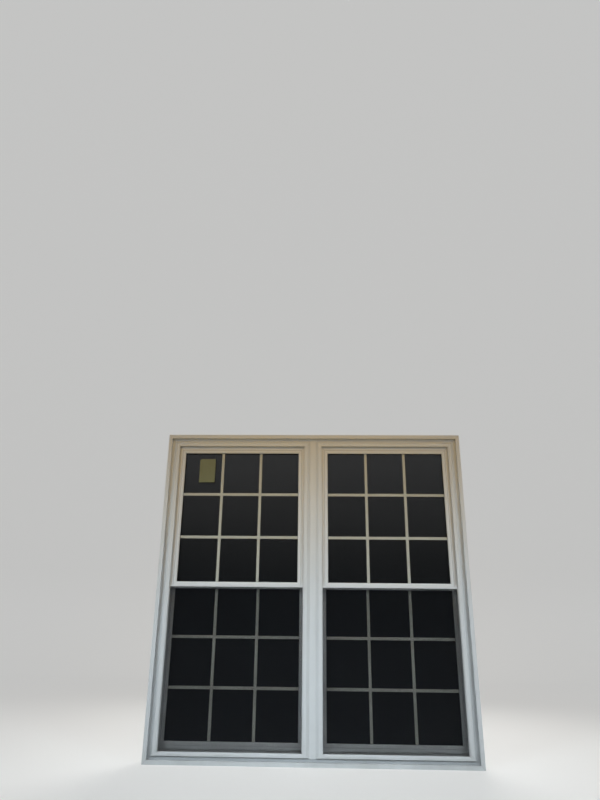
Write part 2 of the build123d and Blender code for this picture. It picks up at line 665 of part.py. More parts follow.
def bored_for_pivots(body, x0, x1, depth, z):
    """A sash with the bores for its two pivot bars."""
    bore = PIVOT_RADIUS + PIVOT_BORE_CLEARANCE
    body = body - rod_x(x0 - OVERRUN, x0 + PIVOT_IN_STILE, depth, z, bore)
    return body - rod_x(x1 - PIVOT_IN_STILE, x1 + OVERRUN, depth, z, bore)


def rounded_foot(body, z0, front):
    """A lower sash with its foot rounded outside and chamfered on the room side."""
    def foot_edges(depth):
        return [
            edge
            for edge in body.edges().filter_by(Axis.X)
            if abs(edge.center().Z - z0) < NEAR and abs(edge.center().Y - at(depth)) < NEAR
        ]

    body = chamfer(foot_edges(front + SASH_THICKNESS), FOOT_CHAMFER)
    return fillet(foot_edges(front), FOOT_RADIUS)


# Units
for unit_name, unit_side in (("left", -1), ("right", 1)):
    centre = unit_side * UNIT_CENTRE

    # Lower sash
    x0, x1 = centre - LOWER_SASH_HALF, centre + LOWER_SASH_HALF
    z0, z1 = LOWER_SASH_BOTTOM, MEETING_TOP
    prefix = f"{unit_name}_lower"
    daylight = (x0 + MEMBER_WIDTH, x1 - MEMBER_WIDTH, z0 + MEMBER_WIDTH, z1 - MEETING_RAIL_WIDTH)
    body = sash_frame((x0, x1, z0, z1), daylight, LOWER_SASH_FRONT)
    body = bored_for_pivots(body, x0, x1, LOWER_SASH_MIDDLE, PIVOT_LEVEL)
    for edge_x, inward in ((x0, 1), (x1, -1)):
        body = body - latch_groove(edge_x, inward, z1, LOWER_SASH_MIDDLE)
    body = rounded_foot(body, z0, LOWER_SASH_FRONT)
    groove_z = z0 + LIFT_ABOVE_SASH_FOOT
    groove_end = MEMBER_WIDTH + LIFT_END_GAP
    body = body - block(x0 + groove_end, x1 - groove_end, LOWER_SASH_BACK - LIFT_DEPTH,
                        LOWER_SASH_BACK + OVERRUN, groove_z, groove_z + LIFT_HEIGHT)
    save(f"{prefix}_sash_frame", body)
    glazing(daylight, LOWER_SASH_FRONT, prefix)
    floors = ((centre - UNIT_HALF_OPENING - RIM_WIDTH, -1), (centre + UNIT_HALF_OPENING + RIM_WIDTH, 1))
    shoes = [balance_shoe(floor, way, LOWER_SASH_MIDDLE, LOWER_CHAMBER_WIDTH, PIVOT_LEVEL)
             for floor, way in floors]
    save(f"{prefix}_balance_shoes", *shoes)
    coils = [balance_coil(floor, way, LOWER_SASH_MIDDLE, PIVOT_LEVEL) for floor, way in floors]
    save(f"{prefix}_balance_coils", *coils)
    bar_reach = LOWER_SIDE_CLEARANCE + CHAMBER_REACH - SHOE_CLEARANCE
    bars = [pivot_bar(x0, 1, LOWER_SASH_MIDDLE, PIVOT_LEVEL, bar_reach),
            pivot_bar(x1, -1, LOWER_SASH_MIDDLE, PIVOT_LEVEL, bar_reach)]
    save(f"{prefix}_pivot_bars", *bars)
    save(f"{prefix}_latch_left", tilt_latch(x0, 1, z1, LOWER_SASH_MIDDLE))
    save(f"{prefix}_latch_right", tilt_latch(x1, -1, z1, LOWER_SASH_MIDDLE))
    lock_xs = [daylight[0] + (daylight[1] - daylight[0]) * share for share in LOCK_POSITIONS]
    save(f"{prefix}_lock_housings", *[lock_housing(x, z1) for x in lock_xs])
    save(f"{prefix}_lock_cam_left", lock_cam(lock_xs[0], z1))
    save(f"{prefix}_lock_cam_right", lock_cam(lock_xs[1], z1))
    seal_front = UPPER_SASH_FRONT + SASH_THICKNESS + SEAL_CLEARANCE
    seal_z = (MEETING_BOTTOM + MEETING_TOP - SEAL_HEIGHT) / 2
    upper_x0, upper_x1 = centre - UPPER_SASH_HALF, centre + UPPER_SASH_HALF
    seal = block(upper_x0 + BEAD_WIDTH, upper_x1 - BEAD_WIDTH, seal_front, LOWER_SASH_FRONT, seal_z,
                 seal_z + SEAL_HEIGHT)
    save(f"{prefix}_meeting_seal", seal)

    # Upper sash
    x0, x1 = upper_x0, upper_x1
    z0, z1 = MEETING_BOTTOM, UPPER_SASH_TOP
    prefix = f"{unit_name}_upper"
    upper_pivot = MEETING_BOTTOM + PIVOT_HEIGHT
    daylight = (x0 + MEMBER_WIDTH, x1 - MEMBER_WIDTH, z0 + MEETING_RAIL_WIDTH, z1 - HEAD_RAIL_WIDTH)
    body = sash_frame((x0, x1, z0, z1), daylight, UPPER_SASH_FRONT)
    body = bored_for_pivots(body, x0, x1, UPPER_SASH_MIDDLE, upper_pivot)
    for edge_x, inward in ((x0, 1), (x1, -1)):
        body = body - latch_groove(edge_x, inward, z1, UPPER_SASH_MIDDLE)
    save(f"{prefix}_sash_frame", body)
    glazing(daylight, UPPER_SASH_FRONT, prefix)
    floors = ((centre - UNIT_HALF_OPENING - UPPER_TRACK_REACH, -1),
              (centre + UNIT_HALF_OPENING + UPPER_TRACK_REACH, 1))
    shoes = [balance_shoe(floor, way, UPPER_SASH_MIDDLE, UPPER_CHAMBER_WIDTH, upper_pivot)
             for floor, way in floors]
    save(f"{prefix}_balance_shoes", *shoes)
    coils = [balance_coil(floor, way, UPPER_SASH_MIDDLE, upper_pivot) for floor, way in floors]
    save(f"{prefix}_balance_coils", *coils)
    bar_reach = SASH_SIDE_CLEARANCE + CHAMBER_REACH - SHOE_CLEARANCE
    bars = [pivot_bar(x0, 1, UPPER_SASH_MIDDLE, upper_pivot, bar_reach),
            pivot_bar(x1, -1, UPPER_SASH_MIDDLE, upper_pivot, bar_reach)]
    save(f"{prefix}_pivot_bars", *bars)
    save(f"{prefix}_latch_left", tilt_latch(x0, 1, z1, UPPER_SASH_MIDDLE))
    save(f"{prefix}_latch_right", tilt_latch(x1, -1, z1, UPPER_SASH_MIDDLE))
    keeper_back = UPPER_SASH_FRONT + SASH_THICKNESS
    save(f"{prefix}_keepers", *[keeper(x, MEETING_TOP, keeper_back) for x in lock_xs])

    # Screen
    side_edge = UNIT_HALF_OPENING + SCREEN_SIDE_BITE
    sx0, sx1 = centre - side_edge, centre + side_edge
    sz0 = SILL_RIM_TOP - SILL_SCREEN_GROOVE + SCREEN_SEAT
    mesh_depth = (SCREEN_FRONT + SCREEN_BACK) / 2
    mesh_front = mesh_depth - SCREEN_MESH_THICKNESS / 2
    mesh_back = mesh_depth + SCREEN_MESH_THICKNESS / 2
    groove_inset = SCREEN_RAIL_WIDTH - SCREEN_MESH_BITE
    rail = [
        (0, SCREEN_FRONT),
        (SCREEN_RAIL_WIDTH - SCREEN_RAIL_CHAMFER, SCREEN_FRONT),
        (SCREEN_RAIL_WIDTH, SCREEN_FRONT + SCREEN_RAIL_CHAMFER),
        (SCREEN_RAIL_WIDTH, mesh_front),
        (groove_inset, mesh_front),
        (groove_inset, mesh_back),
        (SCREEN_RAIL_WIDTH, mesh_back),
        (SCREEN_RAIL_WIDTH, SCREEN_BACK),
        (0, SCREEN_BACK),
    ]
    save(f"{unit_name}_screen_frame", *mitred_strips(rail, sx0, sx1, sz0, SCREEN_TOP))
    mesh = block(sx0 + groove_inset, sx1 - groove_inset, mesh_front, mesh_back, sz0 + groove_inset,
                 SCREEN_TOP - groove_inset)
    save(f"{unit_name}_screen_mesh", mesh)
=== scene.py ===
import math

import bmesh
import bpy
import numpy as np
from mathutils import Matrix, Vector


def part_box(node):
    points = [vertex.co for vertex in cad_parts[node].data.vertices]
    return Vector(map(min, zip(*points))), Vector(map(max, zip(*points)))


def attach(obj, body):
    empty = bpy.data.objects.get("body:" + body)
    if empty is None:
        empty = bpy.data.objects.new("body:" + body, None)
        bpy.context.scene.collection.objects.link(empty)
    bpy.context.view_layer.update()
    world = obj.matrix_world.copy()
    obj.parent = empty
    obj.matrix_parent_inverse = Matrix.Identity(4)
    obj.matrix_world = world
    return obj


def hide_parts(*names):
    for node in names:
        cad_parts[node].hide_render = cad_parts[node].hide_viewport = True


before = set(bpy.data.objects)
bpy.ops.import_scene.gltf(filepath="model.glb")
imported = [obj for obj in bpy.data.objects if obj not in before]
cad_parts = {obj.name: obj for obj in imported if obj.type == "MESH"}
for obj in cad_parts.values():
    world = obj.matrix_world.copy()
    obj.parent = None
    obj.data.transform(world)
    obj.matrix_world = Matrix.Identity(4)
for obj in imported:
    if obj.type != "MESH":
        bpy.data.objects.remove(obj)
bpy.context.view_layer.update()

# The studio: a camera where the photographer stood, low in front of the window and looking up at it.
# Behind the window a pale floor rises in one sweep into the backdrop.
YAW = math.radians(-1.77)
PITCH = math.radians(19.68)
ROLL = math.radians(0.61)
EYE = (0.0274, -3.703, 0.7645)
PAPER_GREY = (0.48, 0.48, 0.47, 1)
PAPER_GLOW = (1.0, 1.0, 0.985, 1)
PAPER_GLOW_STRENGTH = 0.46
forward = np.array([math.sin(YAW) * math.cos(PITCH), math.cos(YAW) * math.cos(PITCH), math.sin(PITCH)])
level_right = np.array([math.cos(YAW), -math.sin(YAW), 0.0])
level_up = np.cross(level_right, forward)
right = math.cos(ROLL) * level_right + math.sin(ROLL) * level_up
up = math.cos(ROLL) * level_up - math.sin(ROLL) * level_right
lens = bpy.data.cameras.new("camera")
lens.sensor_fit = "AUTO"
lens.sensor_width = 36.0
lens.lens = 27.0
lens.clip_end = 60.0
camera = bpy.data.objects.new("camera", lens)
bpy.context.scene.collection.objects.link(camera)
turned = np.eye(4)
turned[:3, 0] = right
turned[:3, 1] = up
turned[:3, 2] = -forward
turned[:3, 3] = EYE
camera.matrix_world = Matrix(turned.tolist())
bpy.context.scene.camera = camera
bpy.context.scene.view_settings.view_transform = "Standard"


def mesh_piece(name, points, faces, smooth=False):
    """An object in the scene whose mesh has these points and these faces of four points each."""
    mesh = bpy.data.meshes.new(name)
    mesh.from_pydata(points.reshape(-1, 3).tolist(), [], faces.reshape(-1, 4).tolist())
    mesh.polygons.foreach_set("use_smooth", np.full(len(mesh.polygons), smooth))
    mesh.update()
    piece = bpy.data.objects.new(name, mesh)
    bpy.context.scene.collection.objects.link(piece)
    return piece


def grid_mesh(name, points, smooth=False, wrap=False):
    """A piece from a grid of points, rows by columns by 3: each face joins two neighbouring rows and
    two neighbouring columns. With wrap, the last column joins the first, so that the grid is a tube."""
    rows, columns = points.shape[:2]
    index = np.arange(rows * columns).reshape(rows, columns)
    if wrap:
        index = np.concatenate([index, index[:, :1]], axis=1)
    faces = np.stack([index[:-1, :-1], index[:-1, 1:], index[1:, 1:], index[1:, :-1]], axis=-1)
    return mesh_piece(name, points, faces, smooth)


def sweep_points(half_width, front, back, bend, top, count):
    """The floor runs level from front to back, turns up on a quarter circle of radius bend, and
    rises to top. The same line is repeated at the left and right edge."""
    turn = np.linspace(0.0, math.pi / 2, count)
    y = np.concatenate([[front], back + bend * np.sin(turn), [back + bend]])
    z = np.concatenate([[0.0], bend * (1 - np.cos(turn)), [top]])
    edge = np.stack([np.zeros_like(y), y, z], axis=-1)
    side = np.array([half_width, 0.0, 0.0])
    return np.stack([edge - side, edge + side], axis=1)


sweep_line = sweep_points(half_width=24.0, front=-16.0, back=4.2, bend=1.4, top=16.0, count=24)
sweep = grid_mesh("studio_sweep", sweep_line, smooth=True)
paper = bpy.data.materials.new("studio_paper")
paper.use_nodes = True
tree = paper.node_tree
shader = tree.nodes["Principled BSDF"]
shader.inputs["Base Color"].default_value = PAPER_GREY
shader.inputs["Roughness"].default_value = 0.9
shader.inputs["Specular IOR Level"].default_value = 0.1
shader.inputs["Emission Color"].default_value = PAPER_GLOW
rays = tree.nodes.new("ShaderNodeLightPath")
looked_at = tree.nodes.new("ShaderNodeMath")
looked_at.operation = "MAXIMUM"
tree.links.new(rays.outputs["Is Camera Ray"], looked_at.inputs[0])
tree.links.new(rays.outputs["Is Transmission Ray"], looked_at.inputs[1])
glow = tree.nodes.new("ShaderNodeMath")
glow.operation = "MULTIPLY"
glow.inputs[1].default_value = PAPER_GLOW_STRENGTH
tree.links.new(looked_at.outputs[0], glow.inputs[0])
tree.links.new(glow.outputs[0], shader.inputs["Emission Strength"])
sweep.data.materials.append(paper)

# The light: an even pale room, two cool soft lamps at the front left and right that reach the foot of
# the window more than its top, a warm one overhead, a warm one low in front that reaches the head's
# undersides, and one on the room side for the back.
ROOM_LIGHT = 0.22
ROOM_LIGHT_TINT = (0.95, 0.97, 1.0, 1)
ROOM_SEEN = 0.56
ROOM_SEEN_TINT = (1.0, 1.0, 0.99, 1)
ROOM_MIRRORED = {"From Min": 0.02, "From Max": 0.34, "To Min": 0.05, "To Max": 0.60}
MIX_FIRST, MIX_SECOND = 2, 3
MIX_FIRST_COLOUR, MIX_SECOND_COLOUR, MIX_COLOUR_OUT = 6, 7, 2
world = bpy.data.worlds.new("studio_room")
bpy.context.scene.world = world
world.use_nodes = True
sky = world.node_tree
background = sky.nodes["Background"]
heading = sky.nodes.new("ShaderNodeSeparateXYZ")
sky.links.new(sky.nodes.new("ShaderNodeTexCoord").outputs["Generated"], heading.inputs[0])
mirrored = sky.nodes.new("ShaderNodeMapRange")
mirrored.interpolation_type = "SMOOTHSTEP"
for key, value in ROOM_MIRRORED.items():
    mirrored.inputs[key].default_value = value
sky.links.new(heading.outputs[2], mirrored.inputs["Value"])
ray = sky.nodes.new("ShaderNodeLightPath")
brightness = sky.nodes.new("ShaderNodeMix")
brightness.inputs[MIX_FIRST].default_value = ROOM_LIGHT
brightness.inputs[MIX_SECOND].default_value = ROOM_SEEN
tint = sky.nodes.new("ShaderNodeMix")
tint.data_type = "RGBA"
tint.inputs[MIX_FIRST_COLOUR].default_value = ROOM_LIGHT_TINT
tint.inputs[MIX_SECOND_COLOUR].default_value = ROOM_SEEN_TINT
strength = sky.nodes.new("ShaderNodeMix")
for start, end in (
    (ray.outputs["Is Camera Ray"], brightness.inputs[0]),
    (ray.outputs["Is Camera Ray"], tint.inputs[0]),
    (tint.outputs[MIX_COLOUR_OUT], background.inputs["Color"]),
    (ray.outputs["Is Glossy Ray"], strength.inputs[0]),
    (brightness.outputs[0], strength.inputs[MIX_FIRST]),
    (mirrored.outputs[0], strength.inputs[MIX_SECOND]),
    (strength.outputs[0], background.inputs["Strength"]),
):
    sky.links.new(start, end)


def soft_lamp(name, place, target, size, power, colour, spread):
    """A rectangular lamp at place that faces target, its light kept within spread degrees. Neither the
    camera nor gloss shows it."""
    lamp = bpy.data.lights.new(name, "AREA")
    lamp.shape = "RECTANGLE"
    lamp.size = size[0]
    lamp.size_y = size[1]
    lamp.energy = power
    lamp.color = colour
    lamp.spread = math.radians(spread)
    holder = bpy.data.objects.new(name, lamp)
    bpy.context.scene.collection.objects.link(holder)
    back = np.array(place) - np.array(target)
    back = back / np.linalg.norm(back)
    side = np.cross([0.0, 0.0, 1.0], back)
    side = side / np.linalg.norm(side)
    pose = np.eye(4)
    pose[:3, 0] = side
    pose[:3, 1] = np.cross(back, side)
    pose[:3, 2] = back
    pose[:3, 3] = place
    holder.matrix_world = Matrix(pose.tolist())
    holder.visible_camera = False
    holder.visible_glossy = False


soft_lamp(
    "lamp_front_left",
    place=(-3.4, -3.9, 2.5), target=(-0.4, 0.0, 0.45), size=(2.0, 0.8),
    power=6.9, colour=(0.82, 0.93, 1.0), spread=32.0,
)
soft_lamp(
    "lamp_front_right",
    place=(3.4, -3.9, 2.5), target=(0.4, 0.0, 0.45), size=(2.0, 0.8),
    power=6.4, colour=(0.84, 0.94, 1.0), spread=32.0,
)
soft_lamp(
    "lamp_overhead",
    place=(0.0, -2.4, 3.5), target=(0.0, 0.0, 2.0), size=(3.0, 0.8),
    power=4.1, colour=(1.0, 0.56, 0.04), spread=54.0,
)
soft_lamp(
    "lamp_low",
    place=(0.0, -1.25, 0.12), target=(0.0, 0.0, 1.80), size=(2.2, 0.4),
    power=0.85, colour=(1.0, 0.68, 0.20), spread=40.0,
)
soft_lamp(
    "lamp_room_side",
    place=(0.6, 3.0, 3.0), target=(0.0, 0.0, 0.95), size=(2.6, 1.6),
    power=40.0, colour=(1.0, 0.98, 0.95), spread=100.0,
)

# The outer frame: white vinyl extrusions, cut at 45 degrees and welded at the corners, with the
# mullion welded between head and sill. The die leaves fine lines along each length, the welds are
# scraped back to a shallow groove, grime and painted shade of the recess darken the channels, and
# dust settles at the foot.
HALF_WIDTH = 0.9145
FRAME_TOP = 1.836
FRAME_WHITE = (0.66, 0.675, 0.68)
FRAME_DUST = (0.47, 0.475, 0.46)
DUST_TOP = 0.30
DUST_SHARE = 0.5
SPECK_SHARE = 0.16
CLOUD_DARKNESS = 0.88
# Channel colour: grime together with painted shade of the recess.
CHANNEL_GRIME_AND_SHADE = (0.38, 0.40, 0.415)
GRIME_AND_SHADE_DEPTHS = (-0.0455, -0.036, -0.030, -0.029)
GRIME_AND_SHADE_INSETS = (0.021, 0.0225, 0.046, 0.053)
DIE_LINE_SCALE = 520.0
DIE_LINE_SHARE = 0.02
WELD_HALF_WIDTHS = (0.0006, 0.0021)
WELD_SHARE = 0.55
WELD_DARKNESS = 0.62


class Nodes:
    """Short words for adding nodes to one material."""

    def __init__(self, name):
        self.material = bpy.data.materials.new(name)
        self.material.use_nodes = True
        self.tree = self.material.node_tree
        self.surface = self.tree.nodes["Principled BSDF"]

    def join(self, value, socket):
        """Puts a number, colour or another node's output into a socket."""
        if isinstance(value, bpy.types.NodeSocket):
            self.tree.links.new(value, socket)
        elif value is not None:
            socket.default_value = value

    def where(self):
        """The point on the object, in metres."""
        return self.tree.nodes.new("ShaderNodeTexCoord").outputs["Object"]

    def axes(self):
        """The same point as three numbers."""
        node = self.tree.nodes.new("ShaderNodeSeparateXYZ")
        self.tree.links.new(self.where(), node.inputs[0])
        return tuple(node.outputs)

    def sum(self, kind, a, b=None, c=None):
        """One step of arithmetic."""
        node = self.tree.nodes.new("ShaderNodeMath")
        node.operation = kind
        for value, socket in zip((a, b, c), node.inputs):
            self.join(value, socket)
        return node.outputs[0]

    def ramp(self, value, start, end, low=0.0, high=1.0):
        """Goes smoothly from low, at start, to high, at end."""
        node = self.tree.nodes.new("ShaderNodeMapRange")
        node.interpolation_type = "SMOOTHSTEP"
        keys = ("Value", "From Min", "From Max", "To Min", "To Max")
        for key, given in zip(keys, (value, start, end, low, high)):
            self.join(given, node.inputs[key])
        return node.outputs[0]

    def band(self, value, start, full, fall, end):
        """Goes smoothly from 0, at start, to 1, at full, and back from fall to 0, at end."""
        return self.sum("MULTIPLY", self.ramp(value, start, full), self.ramp(value, fall, end, 1.0, 0.0))

    def noise(self, where, scale, detail=2.0, rough=0.5):
        """Soft clouds of a size of about 1 / scale metres."""
        node = self.tree.nodes.new("ShaderNodeTexNoise")
        self.join(where, node.inputs["Vector"])
        node.inputs["Scale"].default_value = scale
        node.inputs["Detail"].default_value = detail
        node.inputs["Roughness"].default_value = rough
        return node.outputs["Fac"]

    def point(self, x, y, z):
        """Three numbers as one point."""
        node = self.tree.nodes.new("ShaderNodeCombineXYZ")
        for value, socket in zip((x, y, z), node.inputs):
            self.join(value, socket)
        return node.outputs[0]

    def blend(self, share, first, second):
        """Mixes two colours by share."""
        node = self.tree.nodes.new("ShaderNodeMix")
        node.data_type = "RGBA"
        self.join(share, node.inputs["Factor"])
        for colour, key in ((first, MIX_FIRST_COLOUR), (second, MIX_SECOND_COLOUR)):
            self.join((*colour, 1) if isinstance(colour, tuple) else colour, node.inputs[key])
        return node.outputs[MIX_COLOUR_OUT]

    def bump(self, height, depth, strength=1.0):
        """Raises the surface by height times depth, in metres."""
        node = self.tree.nodes.new("ShaderNodeBump")
        node.inputs["Strength"].default_value = strength
        node.inputs["Distance"].default_value = depth
        self.join(height, node.inputs["Height"])
        self.tree.links.new(node.outputs[0], self.surface.inputs["Normal"])

    def put(self, **sockets):
        """Sets the shader's own sockets, named with an underscore for each space."""
        for key, value in sockets.items():
            self.join(value, self.surface.inputs[key.replace("_", " ")])


def settled_dust(n, z, clouds):
    """Dust lies in clouds, thickest at the foot and gone at the dust's top."""
    low = n.ramp(z, start=0.0, end=DUST_TOP, low=1.0, high=0.0)
    return n.sum("MULTIPLY", low, n.ramp(clouds, start=0.35, end=0.75))


def channel_grime_and_shade(n, y, z, across, clouds):
    """Grime and painted shade of the recess lie where the depth and the distance from the frame's edge are
    the channel's, most of them low down but a little less on the sill, and unevenly."""
    grime_and_shade = n.sum("MULTIPLY", n.band(y, *GRIME_AND_SHADE_DEPTHS), n.band(across, *GRIME_AND_SHADE_INSETS))
    grime_and_shade = n.sum("MULTIPLY", grime_and_shade, n.ramp(z, start=0.0, end=FRAME_TOP, low=0.9, high=0.15))
    grime_and_shade = n.sum("MULTIPLY", grime_and_shade, n.ramp(z, start=0.04, end=0.12, low=1.0, high=0.8))
    return n.sum("MULTIPLY", grime_and_shade, n.ramp(clouds, start=0.2, end=0.6, low=0.75, high=1.0))


def darkened(colour, share):
    """The colour with each of its numbers times share."""
    return tuple(share * number for number in colour)


def cloudy(n, clouds, colour, white):
    """The colour, a little darker in clouds."""
    share = n.ramp(clouds, start=0.3, end=0.8, low=0.0, high=0.10)
    return n.blend(share, colour, darkened(white, CLOUD_DARKNESS))


def satin(n, clouds, colour, height, depth):
    """Puts the colour and the height on the surface, with vinyl's gloss."""
    gloss = n.ramp(clouds, start=0.3, end=0.8, low=0.30, high=0.44)
    n.put(Base_Color=colour, Roughness=gloss, Specular_IOR_Level=0.45)
    n.bump(height, depth, strength=0.8)
    return n.material


def welded_vinyl(name, centre, half, foot, top, white, dust, shares=(1.0, 1.0), grime_and_shade=None, bead=None):
    """Satin white vinyl of a welded rectangle. Across a member the distance from the rectangle's edge
    is the smaller of the two insets, so die lines are noise of that distance and the depth alone.
    The weld is the line where both insets are equal, the foot's and the top's inset being stretched by
    their shares, the stile's width over their own. The channels' colour stands for the grime in them
    and the painted shade of their recess.
    Bead is the colour of the gap that runs round the beads, their width, the daylight's half width,
    foot and top and the face's depth: the gap lies where the distance outwards from the daylight is
    the beads' width, on the face alone."""
    n = Nodes(name)
    where = n.where()
    x, y, z = n.axes()
    off_centre = n.sum("ABSOLUTE", n.sum("SUBTRACT", x, centre))
    inset_x = n.sum("SUBTRACT", half, off_centre)
    from_foot = n.sum("MULTIPLY", n.sum("SUBTRACT", z, foot), shares[0])
    from_top = n.sum("MULTIPLY", n.sum("SUBTRACT", top, z), shares[1])
    inset_z = n.sum("MINIMUM", from_foot, from_top)
    across = n.sum("MINIMUM", inset_x, inset_z)
    off_weld = n.sum("ABSOLUTE", n.sum("SUBTRACT", inset_x, inset_z))
    weld = n.ramp(off_weld, *WELD_HALF_WIDTHS, low=1.0, high=0.0)
    die_lines = n.noise(n.point(across, y, 0.0), DIE_LINE_SCALE, detail=1.0)
    clouds = n.noise(where, scale=5.0, detail=4.0, rough=0.6)
    specks = n.ramp(n.noise(where, scale=210.0, detail=2.0, rough=0.7), start=0.62, end=0.78)
    dusty = n.sum("MULTIPLY_ADD", specks, SPECK_SHARE, settled_dust(n, z, clouds))
    colour = n.blend(n.sum("MULTIPLY", dusty, DUST_SHARE), white, dust)
    # Grime and painted shade of the channels' recess, strongest low down.
    if grime_and_shade:
        colour = n.blend(channel_grime_and_shade(n, y, z, across, clouds), colour, grime_and_shade)
    colour = cloudy(n, clouds, colour, white)
    colour = n.blend(n.sum("MULTIPLY", weld, WELD_SHARE), colour, darkened(white, WELD_DARKNESS))
    if bead:
        gap_colour, bead_width, day_half, day_foot, day_top, face = bead
        beside = n.sum("SUBTRACT", off_centre, day_half)
        over = n.sum("MAXIMUM", n.sum("SUBTRACT", day_foot, z), n.sum("SUBTRACT", z, day_top))
        off_gap = n.sum("ABSOLUTE", n.sum("SUBTRACT", n.sum("MAXIMUM", beside, over), bead_width))
        gap = n.ramp(off_gap, start=0.0005, end=0.0018, low=0.75, high=0.0)
        on_face = n.ramp(y, start=face + 0.007, end=face + 0.008, low=1.0, high=0.0)
        colour = n.blend(n.sum("MULTIPLY", gap, on_face), colour, gap_colour)
    height = n.sum("SUBTRACT", n.sum("MULTIPLY", die_lines, DIE_LINE_SHARE), weld)
    return satin(n, clouds, colour, height, depth=0.00025)


frame_vinyl = welded_vinyl(
    "frame_vinyl", 0.0, HALF_WIDTH, 0.0, FRAME_TOP, FRAME_WHITE, FRAME_DUST, grime_and_shade=CHANNEL_GRIME_AND_SHADE
)
for name in ("frame_head", "frame_sill", "frame_jamb_left", "frame_jamb_right"):
    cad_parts[name].material_slots[0].material = frame_vinyl


def mullion_vinyl():
    """The same vinyl along one upright: die lines are noise of x and depth alone."""
    n = Nodes("mullion_vinyl")
    x, y, z = n.axes()
    die_lines = n.noise(n.point(x, y, 0.0), DIE_LINE_SCALE, detail=1.0)
    clouds = n.noise(n.where(), scale=5.0, detail=4.0, rough=0.6)
    dusty = n.sum("MULTIPLY", settled_dust(n, z, clouds), DUST_SHARE)
    colour = cloudy(n, clouds, n.blend(dusty, FRAME_WHITE, FRAME_DUST), FRAME_WHITE)
    return satin(n, clouds, colour, die_lines, depth=0.000006)


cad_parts["frame_mullion"].material_slots[0].material = mullion_vinyl()

# The balances in the jambs: moulded nylon shoes that slide behind the track floors, each with a
# coiled ribbon of spring steel that winds up as the sash rises.
UNITS = {"left": -0.44725, "right": 0.44725}
LEVELS = ("lower", "upper")


def even_finish(name, dark, light, roughness, clouds, grain=None, relief=0.0, **sockets):
    """One finish all over a piece. Its clouds mix the dark colour with the light one and the first
    roughness with the second. Clouds and grain are each the scale and the detail of a noise. The grain
    raises the surface by relief, in metres, or the clouds do where there is no grain."""
    n = Nodes(name)
    where = n.where()
    mottle = n.noise(where, *clouds)
    n.put(Base_Color=n.blend(mottle, dark, light), Roughness=n.ramp(mottle, 0.3, 0.7, *roughness), **sockets)
    if relief:
        n.bump(n.noise(where, *grain) if grain else mottle, relief)
    return n.material


shoe_nylon = even_finish(
    "shoe_nylon", dark=(0.60, 0.60, 0.57), light=(0.72, 0.72, 0.69), roughness=(0.42, 0.56),
    clouds=(60.0, 3.0), grain=(900.0, 2.0), relief=0.00004,
)


def rolled_steel():
    """Bright steel with rolling lines: noise that is 30 times finer along x than along y and z."""
    n = Nodes("spring_steel")
    x, y, z = n.axes()
    rolled = n.noise(n.point(n.sum("MULTIPLY", x, 30.0), y, z), scale=300.0)
    colour = n.blend(rolled, (0.42, 0.43, 0.44), (0.58, 0.58, 0.58))
    n.put(Base_Color=colour, Metallic=1.0, Roughness=n.ramp(rolled, start=0.3, end=0.7, low=0.26, high=0.40))
    n.bump(rolled, depth=0.00003)
    return n.material


spring_steel = rolled_steel()
for unit in UNITS:
    for level in LEVELS:
        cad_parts[f"{unit}_{level}_balance_shoes"].material_slots[0].material = shoe_nylon
        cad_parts[f"{unit}_{level}_balance_coils"].material_slots[0].material = spring_steel

# The sashes: four mitred vinyl extrusions each, welded at the corners, and outside the glass four
# snap-in beads of the same vinyl whose ends meet on the same 45 degree line.
# A sash is its half width, foot, top, foot rail and top rail.
STILE = 0.04275
HEAD_RAIL = 0.04675
MEETING_RAIL = 0.036
SASHES = {
    "lower": (0.41225, 0.061, 0.94175, STILE, MEETING_RAIL),
    "upper": (0.39975, 0.90575, 1.768, MEETING_RAIL, HEAD_RAIL),
}
SASH_FACE = {"lower": 0.006, "upper": -0.029}
BEAD_WIDTH = 0.019
BEAD_GAP = (0.26, 0.265, 0.27)
SASH_WHITE = (0.68, 0.69, 0.69)
SASH_DUST = (0.50, 0.50, 0.48)


def daylight(level):
    """The half width, foot and top of the glass that a sash leaves open: the sash's less its members."""
    half, foot, top, foot_rail, top_rail = SASHES[level]
    return half - STILE, foot + foot_rail, top - top_rail


for unit, centre in UNITS.items():
    for level, (half, foot, top, foot_rail, top_rail) in SASHES.items():
        vinyl = welded_vinyl(
            f"{unit}_{level}_vinyl", centre, half, foot, top, SASH_WHITE, SASH_DUST,
            shares=(STILE / foot_rail, STILE / top_rail),
            bead=(BEAD_GAP, BEAD_WIDTH, *daylight(level), SASH_FACE[level]),
        )
        for part in ("sash_frame", "glazing_beads"):
            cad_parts[f"{unit}_{level}_{part}"].material_slots[0].material = vinyl

# The sealed glass units: two panes of 3 mm float glass, 10 mm apart, on a grey bar filled with drying
# beads, and between the panes a flat aluminium grille painted pale.
# The outer pane is clear. The inner one is dark, as glass looks from outside with an unlit room behind.
PANE_SPLIT = {"lower": 0.020, "upper": -0.015}
OUTER_PANE_ALPHA = 0.085
INNER_PANE_EXTRA = 0.90


def two_panes(name, split):
    """Faintly cloudy float glass, clear up to the depth of the split and dark behind it."""
    n = Nodes(name)
    where = n.where()
    depth = n.axes()[1]
    film = n.noise(where, scale=3.0, detail=3.0)
    n.put(
        Base_Color=n.blend(film, (0.006, 0.007, 0.008), (0.010, 0.011, 0.012)),
        Roughness=n.ramp(film, start=0.3, end=0.8, low=0.02, high=0.05),
        Specular_IOR_Level=0.8,
        Alpha=n.sum("MULTIPLY_ADD", n.sum("GREATER_THAN", depth, split), INNER_PANE_EXTRA, OUTER_PANE_ALPHA),
    )
    n.bump(n.noise(where, scale=2.2, detail=1.0), depth=0.0012)
    return n.material


